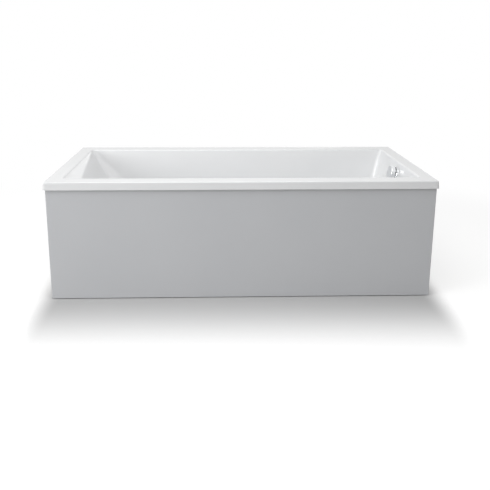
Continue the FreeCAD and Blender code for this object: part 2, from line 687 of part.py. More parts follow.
def overflow_knob():
    """Turned cap: flat face with a rounded edge, thin skirt and a hub on the spindle."""
    back = KNOB_FRONT - KNOB_DEPTH
    cap = rod(KNOB_R, V(0, 0, back), KNOB_DEPTH)
    cap = cap.makeFillet(KNOB_EDGE_R, [e for e in cap.Edges if e.BoundBox.ZMin > KNOB_FRONT - 1])
    hollow = ring(KNOB_R - KNOB_WALL, KNOB_HUB_R, V(0, 0, back), KNOB_DEPTH - KNOB_WALL)
    socket = rod(SPINDLE_R, V(0, 0, back), KNOB_DEPTH - 2 * KNOB_WALL)
    return on_wall(cap.cut(hollow).cut(socket))


def cable_start():
    return V(-(DRUM_COVER_R + GLAND_LENGTH), -DRUM_R, DRUM_S + DRUM_WIDTH / 2)


def drum_cover():
    depth = CUP_BACK - COVER_BACK
    cover = rod(DRUM_COVER_R, V(0, 0, COVER_BACK), depth)
    inner = DRUM_COVER_R - DRUM_COVER_WALL
    room = rod(inner, V(0, 0, COVER_BACK + DRUM_COVER_WALL), depth - DRUM_COVER_WALL)
    end = cable_start()
    gland = rod(CABLE_R + GLAND_WALL, V(0, end.y, end.z), DRUM_COVER_R + GLAND_LENGTH, DOWN)
    bore = rod(CABLE_R, V(0, end.y, end.z), DRUM_COVER_R + GLAND_LENGTH, DOWN)
    return on_wall(fuse([cover, gland]).cut(fuse([room, bore])))


def slip_nut():
    """Union nut round a pipe, along Z from the open side, over a socket's end."""
    outer = rod(SOCKET_R + SLIP_NUT_WALL, V(0, 0, 0), SLIP_NUT_LENGTH)
    over_socket = rod(SOCKET_R + JOINT_GAP, V(0, 0, 0), SLIP_NUT_LENGTH - SLIP_NUT_WALL)
    over_pipe = rod(PIPE_R + JOINT_GAP, V(0, 0, 0), SLIP_NUT_LENGTH)
    return outer.cut(fuse([over_socket, over_pipe]))


def overflow_run():
    """The pipe's corner points: out of the overflow's socket, down, and along to the waste."""
    place = wall_place()
    start = place.multVec(V(-(CUP_R + SOCKET_LENGTH - SOCKET_GRIP), 0, PIPE_S))
    down = place.Rotation.multVec(DOWN)
    corner = start + down * ((start.z - INLET_Z) / -down.z)
    end = V(DRAIN_X + BODY_R + SOCKET_LENGTH - SOCKET_GRIP, 0, INLET_Z)
    return [start, corner, end]


def overflow_pipe():
    wire = route_wire(overflow_run(), [PIPE_BEND_R])
    return tube_along(wire, PIPE_R).cut(tube_along(wire, PIPE_R - PIPE_WALL))


# ---------------------------------------------------------------- waste
def at_drain(shape):
    placed = shape.copy()
    placed.translate(V(DRAIN_X, 0, 0))
    return placed


def waste_flange():
    inner = WASTE_SLEEVE_R - SLEEVE_WALL
    low_z = BODY_TOP_Z - BODY_MOUTH - SLEEVE_WALL
    plate = ring(FLANGE_R, inner, V(0, 0, SEAT_Z + SEAL), DRAIN_SEAT_DEPTH)
    top_edges = [e for e in plate.Edges if e.BoundBox.ZMin > FLANGE_TOP_Z - 0.1]
    outside = [e for e in top_edges if e.BoundBox.XMax > FLANGE_R - 1]
    plate = plate.makeChamfer(FLANGE_CHAMFER, outside)
    sleeve = ring(WASTE_SLEEVE_R, inner, V(0, 0, low_z), FLANGE_TOP_Z - low_z)
    reach = inner + SPOKE_BITE
    hub_r = STEM_R + WASTE_HUB_WALL
    cross = spider(low_z, SPOKE, reach, hub_r, STEM_R + RUNNING, low_z, low_z + 2 * SPOKE)
    return at_drain(fuse([plate, sleeve, cross]))


def waste_body():
    """Cup under the drain with the overflow's inlet at its side and the lever's bearings."""
    sideways = V(1, 0, 0)
    across = V(0, 1, 0)
    collar = rod(BODY_COLLAR_R, V(0, 0, BODY_TOP_Z - BODY_COLLAR), BODY_COLLAR)
    cup = rod(BODY_R, V(0, 0, BODY_FOOT_Z), BODY_DEPTH)
    spigot = rod(SPIGOT_R, V(0, 0, SPIGOT_Z), SPIGOT_LENGTH + BODY_WALL)
    socket = rod(SOCKET_R, V(0, 0, INLET_Z), BODY_R + SOCKET_LENGTH, sideways)
    boss_r = LEVER_R + BODY_WALL
    boss_at = V(LEVER_ARM, -crank_y(), PIVOT_Z)
    boss = rod(boss_r, boss_at, crank_y() + BODY_R - BODY_WALL, across)
    solid = fuse([collar, cup, spigot, socket, boss])
    room_top = BODY_TOP_Z - BODY_MOUTH
    room = rod(BODY_IN_R, V(0, 0, BODY_FOOT_Z + BODY_WALL), room_top - BODY_FOOT_Z - BODY_WALL)
    mouth = rod(WASTE_SLEEVE_R + JOINT_GAP, V(0, 0, room_top), BODY_MOUTH)
    drop = rod(SPIGOT_R - SPIGOT_WALL, V(0, 0, SPIGOT_Z), SPIGOT_LENGTH + 2 * BODY_WALL)
    inlet = rod(PIPE_R - PIPE_WALL, V(0, 0, INLET_Z), BODY_R + SOCKET_LENGTH, sideways)
    stop = BODY_R + SOCKET_LENGTH - SOCKET_GRIP
    socket_bore = rod(PIPE_R, V(stop, 0, INLET_Z), SOCKET_GRIP, sideways)
    bearing = rod(LEVER_R + RUNNING, boss_at, crank_y() + BODY_R - 2 * BODY_WALL, across)
    for space in (room, mouth, drop, inlet, socket_bore, bearing):
        solid = solid.cut(space)
    return at_drain(solid)


def crank_y():
    """Distance from the middle to the crank housing's inner face."""
    return BODY_COLLAR_R + JOINT_GAP


def lift_lever():
    """Spindle across the waste body, with the finger inside and the crank outside."""
    pivot = V(PIVOT_X, 0, PIVOT_Z)
    crank_y0 = crank_y() + 2 * BODY_WALL + LEVER_R
    low_y = crank_y0 + LEVER_R
    high_y = BODY_R - 2 * BODY_WALL - LEVER_END_GAP
    spindle = rod(LEVER_R, pivot + V(0, -low_y, 0), low_y + high_y, V(0, 1, 0))
    half_turn = math.radians(LEVER_TURN / 2)
    finger_way = V(-math.cos(half_turn), 0, -math.sin(half_turn))
    finger = rod(LEVER_ARM_R, pivot, LEVER_ARM, finger_way)
    tip = Part.makeSphere(LEVER_R, pivot + finger_way * LEVER_ARM)
    crank_way = V(-math.sin(half_turn), 0, math.cos(half_turn))
    crank = rod(LEVER_ARM_R, pivot + V(0, -crank_y0, 0), CRANK_ARM, crank_way)
    return fuse([spindle, finger, tip, crank])


def crank_housing():
    """Closed box on the waste body's front, with the cable's gland on its foot side."""
    near = -crank_y()
    far = near - 4 * BODY_WALL - 2 * LEVER_R
    reach = CRANK_ARM / 2 + 2 * LEVER_R
    low = PIVOT_Z - 2 * LEVER_R - BODY_WALL
    high = PIVOT_Z + CRANK_ARM + 2 * LEVER_R
    wall = BODY_WALL / 2
    outer = box(PIVOT_X - reach, PIVOT_X + reach, far, near, low, high)
    outer = outer.makeFillet(BODY_WALL, [e for e in outer.Edges if e.BoundBox.YLength > 1])
    inner = reach - wall
    room_x = (PIVOT_X - inner, PIVOT_X + inner)
    room = box(*room_x, far + wall, near - wall, low + wall, high - wall)
    bearing = rod(LEVER_R + RUNNING, V(PIVOT_X, near, PIVOT_Z), BODY_WALL, V(0, -1, 0))
    end = cable_end()
    gland_at = V(PIVOT_X + inner, end.y, end.z)
    gland = rod(CABLE_R + GLAND_WALL, gland_at, wall + GLAND_LENGTH, V(1, 0, 0))
    bore = rod(CABLE_R, gland_at, wall + GLAND_LENGTH, V(1, 0, 0))
    return fuse([outer, gland]).cut(fuse([room, bearing, bore]))


def cable_end():
    reach = CRANK_ARM / 2 + 2 * LEVER_R
    return V(PIVOT_X + reach + GLAND_LENGTH, -crank_y() - 2 * BODY_WALL - LEVER_R, PIVOT_Z + CRANK_ARM)


def cable_points():
    """The cable's own route, from the drum cover's gland to the crank housing's gland."""
    start = wall_place().multVec(cable_start())
    end = cable_end()
    way = end - start
    middle = [start + V(way.x * a, way.y * b, way.z * c) for a, b, c in CABLE_SHARES]
    return [start] + middle + [end]


def bowden_cable():
    points = cable_points()
    return tube_along(route_wire(points, largest_radii(points)), CABLE_R)


# ---------------------------------------------------------------- plug
def plug_cap():
    low = FLANGE_TOP_Z + JOINT_GAP
    edge_top = low + PLUG_THICK - PLUG_DOME
    disc = rod(PLUG_R, V(0, 0, low), PLUG_THICK - PLUG_DOME)
    disc = disc.makeChamfer(PLUG_CHAMFER, [e for e in disc.Edges if e.BoundBox.ZMax < edge_top])
    crown = Part.makeCone(PLUG_R, PLUG_FLAT_R, PLUG_DOME, V(0, 0, edge_top))
    return at_drain(fuse([disc, crown]))


def plug_stem():
    top = FLANGE_TOP_Z + JOINT_GAP
    stem = rod(STEM_R, V(0, 0, STEM_FOOT_Z), top - STEM_FOOT_Z)
    foot = [e for e in stem.Edges if e.BoundBox.ZMax < STEM_FOOT_Z + 1]
    return at_drain(stem.makeChamfer(STEM_TAPER, foot))


def plug_seal():
    outer = WASTE_SLEEVE_R - SLEEVE_WALL - 2 * JOINT_GAP
    low_z = FLANGE_TOP_Z + JOINT_GAP - PLUG_SEAL
    seal = ring(outer, STEM_R, V(0, 0, low_z), PLUG_SEAL)
    low_edges = [e for e in seal.Edges if e.BoundBox.ZMax < low_z + 0.1]
    outside = [e for e in low_edges if e.BoundBox.XMax > outer - 1]
    return at_drain(seal.makeChamfer(SEAL_CHAMFER, outside))


# ---------------------------------------------------------------- trap and outlet
TRAP_TOP_Z = SPIGOT_Z
TRAP_FOOT_Z = TRAP_TOP_Z - TRAP_HEIGHT
OUTLET_Z = TRAP_FOOT_Z + TRAP_HEIGHT / 2
OUTLET_START_Y = TRAP_R + SOCKET_GRIP / 2


def trap_body():
    across = V(0, 1, 0)
    socket_r = OUTLET_R + SOCKET_WALL
    bottle = rod(TRAP_R, V(0, 0, TRAP_FOOT_Z), TRAP_HEIGHT)
    bottle = bottle.makeChamfer(TRAP_CHAMFER, [e for e in bottle.Edges if e.BoundBox.ZLength < 1])
    collar = rod(SPIGOT_R + JOINT_GAP + TRAP_WALL, V(0, 0, TRAP_TOP_Z), TRAP_COLLAR)
    socket = rod(socket_r, V(0, 0, OUTLET_Z), TRAP_R + SOCKET_LENGTH, across)
    body = fuse([bottle, collar, socket])
    room = rod(TRAP_R - TRAP_WALL, V(0, 0, TRAP_FOOT_Z + TRAP_WALL), TRAP_HEIGHT - 2 * TRAP_WALL)
    way_out = rod(OUTLET_R - OUTLET_WALL, V(0, 0, OUTLET_Z), TRAP_R + SOCKET_LENGTH, across)
    pipe_at = V(0, OUTLET_START_Y, OUTLET_Z)
    pipe_bite = TRAP_R + SOCKET_LENGTH - OUTLET_START_Y
    outlet_bore = rod(OUTLET_R + JOINT_GAP, pipe_at, pipe_bite, across)
    dip = rod(SPIGOT_R, V(0, 0, TRAP_TOP_Z - TRAP_DIP), TRAP_DIP)
    dip_bore = rod(SPIGOT_R - SPIGOT_WALL, V(0, 0, TRAP_TOP_Z - TRAP_DIP), TRAP_DIP)
    spigot_bore = rod(SPIGOT_R + JOINT_GAP, V(0, 0, TRAP_TOP_Z), TRAP_COLLAR)
    body = body.cut(fuse([room, way_out, outlet_bore]))
    return at_drain(fuse([body, dip]).cut(fuse([dip_bore, spigot_bore])))


def trap_nut():
    inner = SPIGOT_R + JOINT_GAP + TRAP_WALL
    return at_drain(ring(inner + SLIP_NUT_WALL, inner, V(0, 0, TRAP_TOP_Z), TRAP_COLLAR))


def trap_cap():
    return at_drain(rod(TRAP_CAP_R, V(0, 0, TRAP_FOOT_Z - TRAP_CAP), TRAP_CAP))


def outlet_nut():
    """Union nut over the trap's outlet socket."""
    end = TRAP_R + SOCKET_LENGTH
    socket_r = OUTLET_R + SOCKET_WALL
    across = V(0, 1, 0)
    nut_at = V(0, end + SLIP_NUT_WALL, OUTLET_Z)
    outer = rod(socket_r + SLIP_NUT_WALL, nut_at, SLIP_NUT_LENGTH, V(0, -1, 0))
    over_socket = rod(socket_r, V(0, end, OUTLET_Z), SLIP_NUT_LENGTH, V(0, -1, 0))
    over_pipe = rod(OUTLET_R + JOINT_GAP, V(0, end, OUTLET_Z), SLIP_NUT_WALL, across)
    return at_drain(outer.cut(over_socket).cut(over_pipe))


def outlet_pipe():
    """Straight pipe to the back, with a stop bead before its free spigot."""
    across = V(0, 1, 0)
    length = OUTLET_END_Y - OUTLET_START_Y
    bead_y = OUTLET_END_Y - OUTLET_FREE - OUTLET_BEAD
    pipe = rod(OUTLET_R, V(0, OUTLET_START_Y, OUTLET_Z), length, across)
    bead = rod(OUTLET_R + OUTLET_BEAD_RISE, V(0, bead_y, OUTLET_Z), OUTLET_BEAD, across)
    bore = rod(OUTLET_R - OUTLET_WALL, V(0, OUTLET_START_Y, OUTLET_Z), length, across)
    return at_drain(fuse([pipe, bead]).cut(bore))


# ---------------------------------------------------------------- assembly
def slip_nut_at(end, heading):
    """Union nut over a socket that ends here, heading the way the pipe leaves."""
    nut = slip_nut()
    turn = FreeCAD.Rotation(V(0, 0, 1), heading)
    start = end - heading * (SLIP_NUT_LENGTH - SLIP_NUT_WALL)
    nut.Placement = FreeCAD.Placement(start, turn)
    return nut


def assembly():
    screws = [wood_screw(x, y, BOARD_Z - RAIL_SHEET) for x, y in rail_screw_places()]
    rail_screws = Part.makeCompound(screws)
    place = wall_place()
    upper_end = place.multVec(V(-(CUP_R + SOCKET_LENGTH), 0, PIPE_S))
    lower_end = V(DRAIN_X + BODY_R + SOCKET_LENGTH, 0, INLET_Z)
    low_strip_z = PANEL_GAP + PANEL_SHEET
    brackets = bracket_screws()
    wall_gasket = ring(COLLAR_R, OVERFLOW_HOLE_R, V(0, 0, CUP_FRONT), GASKET)
    drain_gasket = ring(BODY_COLLAR_R, DRAIN_HOLE_R, V(0, 0, BODY_TOP_Z), GASKET)
    nodes = {
        "tub_shell": tub_shell(),
        "base_board": base_board(rail_screws),
        "front_panel": front_panel(),
        "panel_strip_top": panel_stiffener(PANEL_TOP_Z - PANEL_SHEET - STIFFENER),
        "panel_strip_bottom": panel_stiffener(low_strip_z).cut(brackets),
        "panel_clips": panel_clips(),
        "clip_screws": clip_screws(),
        "panel_brackets": panel_brackets(),
        "bracket_screws": brackets,
        "leg_rail_head": leg_rail(RAIL_HEAD_X),
        "leg_rail_foot": leg_rail(RAIL_FOOT_X),
        "rail_screws": rail_screws,
        "lock_nuts": lock_nuts(),
        "wall_anchors": wall_anchors(),
        "overflow_seal": on_wall(ring(SEAL_R, OVERFLOW_HOLE_R, V(0, 0, 0), SEAL)),
        "overflow_flange": overflow_flange(),
        "overflow_gasket": on_wall(wall_gasket),
        "overflow_body": overflow_body(),
        "overflow_knob": overflow_knob(),
        "overflow_spindle": overflow_spindle(),
        "drum_cover": drum_cover(),
        "overflow_pipe": overflow_pipe(),
        "pipe_nut_upper": slip_nut_at(upper_end, place.Rotation.multVec(DOWN)),
        "pipe_nut_lower": slip_nut_at(lower_end, V(1, 0, 0)),
        "bowden_cable": bowden_cable(),
        "waste_flange": waste_flange(),
        "waste_seal": at_drain(ring(SEAL_R, DRAIN_HOLE_R, V(0, 0, SEAT_Z), SEAL)),
        "waste_gasket": at_drain(drain_gasket),
        "waste_body": waste_body(),
        "lift_lever": lift_lever(),
        "crank_housing": crank_housing(),
        "plug_cap": plug_cap(),
        "plug_stem": plug_stem(),
        "plug_seal": plug_seal(),
        "trap_nut": trap_nut(),
        "trap_body": trap_body(),
        "trap_cap": trap_cap(),
        "trap_outlet_nut": outlet_nut(),
        "outlet_pipe": outlet_pipe(),
    }
    battens = rim_battens()
    battens["rim_batten_front"] = battens["rim_batten_front"].cut(nodes["clip_screws"])
    nodes.update(battens)
    for end, x in (("head", RAIL_HEAD_X), ("foot", RAIL_FOOT_X)):
        for side, y in (("front", -FOOT_Y), ("back", FOOT_Y)):
            nodes["foot_stud_" + end + "_" + side] = foot_stud(x, y)
            nodes["foot_pad_" + end + "_" + side] = foot_pad(x, y)
    return nodes


def main():
    os.makedirs("parts", exist_ok=True)
    for name, shape in assembly().items():
        if not shape.isValid():
            print("not valid:", name)
        shape.exportStep(os.path.join("parts", name + ".step"))


main()
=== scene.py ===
import bmesh
import bpy
import json
import math
from mathutils import Matrix, Vector


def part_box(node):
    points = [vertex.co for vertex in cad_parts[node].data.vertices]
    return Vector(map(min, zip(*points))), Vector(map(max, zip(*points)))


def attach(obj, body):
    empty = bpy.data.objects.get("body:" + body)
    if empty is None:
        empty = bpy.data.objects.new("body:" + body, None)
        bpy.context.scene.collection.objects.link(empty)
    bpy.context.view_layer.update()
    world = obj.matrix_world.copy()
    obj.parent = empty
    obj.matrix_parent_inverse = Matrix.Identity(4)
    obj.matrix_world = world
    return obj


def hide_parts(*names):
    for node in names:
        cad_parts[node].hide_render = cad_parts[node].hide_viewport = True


# Alcove bathtub: the looks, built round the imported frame.
# Metres and degrees. Origin on the floor under the middle, +X to the foot end
# with the overflow and the waste, -Y to the front panel, +Z up.

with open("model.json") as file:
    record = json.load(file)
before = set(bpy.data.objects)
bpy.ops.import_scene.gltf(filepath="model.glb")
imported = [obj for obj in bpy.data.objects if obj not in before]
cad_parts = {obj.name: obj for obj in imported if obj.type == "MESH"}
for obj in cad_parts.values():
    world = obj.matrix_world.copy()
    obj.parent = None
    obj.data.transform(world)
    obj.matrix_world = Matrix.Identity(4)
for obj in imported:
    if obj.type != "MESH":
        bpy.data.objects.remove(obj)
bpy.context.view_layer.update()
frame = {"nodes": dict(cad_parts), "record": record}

# ---------------------------------------------------------------- the tub's form
RIM_Z = 0.535
SHEET = 0.005
HALF_LENGTH = 0.850
HALF_WIDTH = 0.375

LIP_FOOT_Z = 0.501
LIP_CORNER_R = 0.012
LIP_DRAFT = 0.004
LIP_HEIGHT = 0.034
LIP_EDGE_R = 0.006

MOUTH_HEAD = -0.780
MOUTH_FOOT = 0.785
MOUTH_SIDE = 0.302
ROLL_R = 0.009

HEAD_ANGLE = 33.5           # walls, from the vertical
FOOT_ANGLE = 11.0
SIDE_ANGLE = 8.0
FLOOR_SLOPE = 0.42
FLOOR_Z = 0.135             # at the drain
UNDER_Z = 0.130
CORNER_TOP_R = 0.012
HEAD_CORNER_R = 0.135
FOOT_CORNER_R = 0.075
FLOOR_R = 0.060

DRAIN_X = 0.600
DRAIN_RECESS_R = 0.038
DRAIN_HOLE_R = 0.026
DRAIN_SEAT_Z = 0.132
DRAIN_BOSS_R = 0.050
DRAIN_BOSS_Z = 0.127
OVERFLOW_DROP = 0.062
OVERFLOW_HOLE_R = 0.026

CORNER_STEPS = 14           # mesh steps round each upright corner
LONG_STEPS = 24             # and along the walls between them
SHORT_STEPS = 12
ARC_STEPS = 8               # across each rolled or filleted edge
WALL_ROWS = 10
FLOOR_RINGS = 4
HOLE_SIDES = 64

SMOOTH_ANGLE = math.radians(32)
WELD_REACH = 0.00001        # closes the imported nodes' split edges
UP = Vector((0, 0, 1))


# ---------------------------------------------------------------- node helpers
class Recipe:
    """A node material under construction: each call adds a node and returns an output."""

    def __init__(self, name):
        self.material = bpy.data.materials.new(name)
        self.material.use_nodes = True
        self.tree = self.material.node_tree
        self.shader = self.tree.nodes["Principled BSDF"]
        self.place = self.add("ShaderNodeTexCoord").outputs["Object"]

    def add(self, kind):
        return self.tree.nodes.new(kind)

    def link(self, output, socket):
        self.tree.links.new(output, socket)

    def stretched(self, scale, turn=(0, 0, 0)):
        """Object coordinates, scaled by axis and turned."""
        node = self.add("ShaderNodeMapping")
        self.link(self.place, node.inputs["Vector"])
        node.inputs["Scale"].default_value = scale
        node.inputs["Rotation"].default_value = [math.radians(a) for a in turn]
        return node.outputs["Vector"]

    def turned_by_cell(self, cell_scale, scale):
        """Scaled object coordinates, turned another way in every cell."""
        turn = self.add("ShaderNodeVectorMath")
        turn.operation = "SCALE"
        self.link(self.cells(cell_scale), turn.inputs[0])
        turn.inputs["Scale"].default_value = 2 * math.pi
        spun = self.add("ShaderNodeVectorRotate")
        spun.rotation_type = "EULER_XYZ"
        self.link(self.place, spun.inputs["Vector"])
        self.link(turn.outputs["Vector"], spun.inputs["Rotation"])
        node = self.add("ShaderNodeVectorMath")
        node.operation = "MULTIPLY"
        self.link(spun.outputs["Vector"], node.inputs[0])
        node.inputs[1].default_value = scale
        return node.outputs["Vector"]

    def noise(self, scale, detail=3.0, rough=0.5, place=None):
        node = self.add("ShaderNodeTexNoise")
        self.link(place or self.place, node.inputs["Vector"])
        node.inputs["Scale"].default_value = scale
        node.inputs["Detail"].default_value = detail
        node.inputs["Roughness"].default_value = rough
        return node.outputs["Fac"]

    def cells(self, scale, place=None):
        """A random colour for every cell."""
        node = self.add("ShaderNodeTexVoronoi")
        self.link(place or self.place, node.inputs["Vector"])
        node.inputs["Scale"].default_value = scale
        return node.outputs["Color"]

    def spread(self, value, low, high, start=0.3, end=0.7):
        """The value's range from start to end, carried to low and high."""
        node = self.add("ShaderNodeMapRange")
        self.link(value, node.inputs["Value"])
        limits = {"From Min": start, "From Max": end, "To Min": low, "To Max": high}
        for name, number in limits.items():
            node.inputs[name].default_value = number
        return node.outputs["Result"]

    def tones(self, value, *colours, start=0.3, end=0.7):
        """A ramp over the value through these colours, evenly spaced."""
        node = self.add("ShaderNodeValToRGB")
        self.link(value, node.inputs["Fac"])
        stops = node.color_ramp.elements
        while len(stops) < len(colours):
            stops.new(end)
        for k, colour in enumerate(colours):
            stops[k].position = start + (end - start) * k / (len(colours) - 1)
            stops[k].color = (*colour, 1.0)
        return node.outputs["Color"]

    def mix(self, amount, first, second, blend="MIX"):
        node = self.add("ShaderNodeMix")
        node.data_type = "RGBA"
        node.blend_type = blend
        for name, value in (("Factor", amount), ("A", first), ("B", second)):
            socket = next(s for s in node.inputs if s.name == name and s.enabled)
            if isinstance(value, float):
                socket.default_value = value
            else:
                self.link(value, socket)
        return next(s for s in node.outputs if s.enabled)

    def bump(self, height, depth, strength=1.0, over=None):
        node = self.add("ShaderNodeBump")
        self.link(height, node.inputs["Height"])
        node.inputs["Distance"].default_value = depth
        node.inputs["Strength"].default_value = strength
        if over:
            self.link(over, node.inputs["Normal"])
        return node.outputs["Normal"]

    def finish(self, colour, roughness, normal, **uniform):
        self.link(colour, self.shader.inputs["Base Color"])
        self.link(roughness, self.shader.inputs["Roughness"])
        self.link(normal, self.shader.inputs["Normal"])
        for name, value in uniform.items():
            self.shader.inputs[name.replace("_", " ")].default_value = value
        return self.material


# ---------------------------------------------------------------- materials
# Scales are features or cells per metre, but 1.0 where the coordinates are stretched already.
# Bump depths are metres and colours are linear. The last spread() of each is its roughness.
ACRYLIC_IOR = 1.49
RESIN_IOR = 1.54
STRAND_LAYERS = (           # cells, then features along and across a strand, all per metre
    (34.0, 14.0, 420.0),
    (27.0, 11.0, 330.0),
    (41.0, 18.0, 520.0),
)
PLASTICS = {                # darkest and palest colour, roughness range, grain and its depth
    "foot_plastic": ((0.022, 0.022, 0.022), (0.045, 0.045, 0.048), (0.42, 0.62), 700.0, 0.0002),
    "rubber": ((0.020, 0.020, 0.020), (0.040, 0.040, 0.040), (0.62, 0.80), 1200.0, 0.0001),
    "white_plastic": ((0.74, 0.74, 0.725), (0.80, 0.80, 0.79), (0.30, 0.42), 900.0, 0.00008),
    "grey_plastic": ((0.135, 0.145, 0.160), (0.175, 0.185, 0.200), (0.38, 0.52), 800.0, 0.0001),
    "cable_sheath": ((0.030, 0.030, 0.033), (0.050, 0.050, 0.055), (0.30, 0.46), 500.0, 0.0001),
}


def acrylic():
    """Glossy white sheet: faint clouding and the slight waviness of a vacuum-formed skin."""
    r = Recipe("acrylic")
    colour = r.tones(r.noise(3.0), (0.832, 0.840, 0.847), (0.860, 0.865, 0.870))
    sheen = r.spread(r.noise(14.0, 5.0), 0.05, 0.09)
    waves = r.bump(r.noise(9.0, 1.0), 0.0006, 0.2)
    peel = r.bump(r.noise(420.0, 2.0), 0.00005, 0.3, waves)
    return r.finish(colour, sheen, peel, IOR=ACRYLIC_IOR)


def laminate():
    """Glass-fibre mat in resin on the dry side: chopped strands lying every way."""
    r = Recipe("laminate")
    strands = None
    for cells, along, across in STRAND_LAYERS:
        place = r.turned_by_cell(cells, (along, across, across))
        lines = r.spread(r.noise(1.0, 2.0, place=place), 0.0, 1.0, 0.50, 0.68)
        strands = lines if strands is None else r.mix(1.0, strands, lines, "LIGHTEN")
    clouds = r.tones(r.noise(7.0, 4.0), (0.60, 0.59, 0.53), (0.70, 0.69, 0.63))
    pale = r.tones(strands, (0.60, 0.59, 0.52), (0.80, 0.79, 0.75), start=0.0, end=1.0)
    colour = r.mix(0.5, clouds, pale)
    gloss = r.spread(r.noise(40.0, 3.0), 0.32, 0.62)
    lumps = r.bump(r.noise(26.0, 4.0), 0.003, 0.5)
    return r.finish(colour, gloss, r.bump(strands, 0.0008, 0.6, lumps), IOR=RESIN_IOR)


def panel():
    """Satin grey skin with the fine even grain of pressed acrylic."""
    r = Recipe("panel")
    colour = r.tones(r.noise(2.2), (0.612, 0.622, 0.640), (0.632, 0.641, 0.657))
    sheen = r.spread(r.noise(30.0, 5.0), 0.36, 0.44)
    grain = r.bump(r.noise(1500.0, 2.0), 0.00006, 0.35)
    return r.finish(colour, sheen, grain, IOR=ACRYLIC_IOR)


def chipboard():
    """Pressed chips, fine and coarse, lying flat in the board."""
    r = Recipe("chipboard")
    flat = r.stretched((1.0, 1.0, 2.4))
    chips = r.cells(260.0, place=flat)
    coarse = r.cells(110.0, place=r.stretched((1.0, 0.5, 2.0), (0, 0, 25)))
    browns = ((0.30, 0.20, 0.11), (0.52, 0.38, 0.23), (0.68, 0.54, 0.36))
    fine = r.tones(chips, *browns, start=0.1, end=0.9)
    large = r.tones(coarse, (0.36, 0.25, 0.14), (0.62, 0.48, 0.31), start=0.15, end=0.85)
    colour = r.mix(0.4, fine, large)
    rough = r.spread(r.noise(80.0, 4.0), 0.72, 0.90)
    return r.finish(colour, rough, r.bump(chips, 0.0006, 0.5))


def zinc_steel():
    """Zinc plate: spangle, drawn lines and a faint warm and cold tint."""
    r = Recipe("zinc_steel")
    spangle = r.cells(190.0)
    tint = r.tones(r.noise(22.0, 4.0), (0.56, 0.58, 0.62), (0.66, 0.65, 0.61))
    plate = r.tones(spangle, (0.50, 0.52, 0.55), (0.70, 0.71, 0.72), start=0.1, end=0.9)
    rough = r.spread(r.noise(160.0, 5.0), 0.26, 0.48)
    lines = r.noise(1.0, 2.0, place=r.stretched((900.0, 40.0, 900.0)))
    return r.finish(r.mix(0.45, tint, plate), rough, r.bump(lines, 0.00008, 0.4), Metallic=1.0)


def chrome():
    """Polished plate, its shine broken a little by wiping and water marks."""
    r = Recipe("chrome")
    colour = r.tones(r.noise(35.0), (0.770, 0.785, 0.800), (0.830, 0.840, 0.850))
    smears = r.spread(r.noise(60.0, 6.0, 0.6), 0.035, 0.085)
    return r.finish(colour, smears, r.bump(r.noise(150.0, 2.0), 0.00003, 0.3), Metallic=1.0)


def moulded(name, dark, light, gloss, grain, depth):
    """Moulded plastic or rubber: soft flow clouds, a gloss range and a fine grain."""
    r = Recipe(name)
    flow = r.noise(1.0, 4.0, place=r.stretched((18.0, 30.0, 55.0), (15, 30, 0)))
    rough = r.spread(r.noise(90.0, 4.0), *gloss)
    fine = r.bump(r.noise(grain, 3.0, 0.6), depth, 0.5)
    return r.finish(r.tones(flow, dark, light), rough, fine)


def all_materials():
    return {
        "acrylic": acrylic(),
        "laminate": laminate(),
        "panel": panel(),
        "chipboard": chipboard(),
        "zinc_steel": zinc_steel(),
        "chrome": chrome(),
        **{name: moulded(name, *look) for name, look in PLASTICS.items()},
    }


# ---------------------------------------------------------------- mesh helpers
def new_object(name, mesh, *materials):
    piece = bpy.data.objects.new(name, mesh)
    bpy.context.scene.collection.objects.link(piece)
    for material in materials:
        piece.data.materials.append(material)
    return piece


def mesh_from(form, name):
    """The bmesh as mesh data; the bmesh itself is freed."""
    mesh = bpy.data.meshes.new(name)
    form.to_mesh(mesh)
    form.free()
    return mesh


def bridge(form, ring, following):
    """Four-sided faces from one closed ring of vertices to the next."""
    faces = []
    for n in range(len(ring)):
        m = (n + 1) % len(ring)
        faces.append(form.faces.new((ring[n], ring[m], following[m], following[n])))
    return faces


# ---------------------------------------------------------------- the tub's mesh
def wall_normal(angle, x, y):
    """Inward normal of a wall that faces the way (x, y) and leans back by angle."""
    lean = math.radians(angle)
    return Vector((x * math.cos(lean), y * math.cos(lean), math.sin(lean)))


def meet(point, way, plane_point, plane_normal):
    """Where the line from point along way crosses the plane."""
    return point + way * ((plane_point - point).dot(plane_normal) / way.dot(plane_normal))


def once_round(corners, part_way):
    """The corners' entries in order, with even steps from each corner to the next."""
    loop = []
    for k, fan in enumerate(corners):
        loop += fan
        following = corners[(k + 1) % len(corners)][0]
        steps = LONG_STEPS if k % 2 == 0 else SHORT_STEPS
        loop += [part_way(fan[-1], following, step / steps) for step in range(1, steps)]
    return loop


def line_part_way(line, following, share):
    """The wall line at this share of the way to the following one, on the same plane."""
    top, foot, normal = line
    return top.lerp(following[0], share), foot.lerp(following[1], share), normal


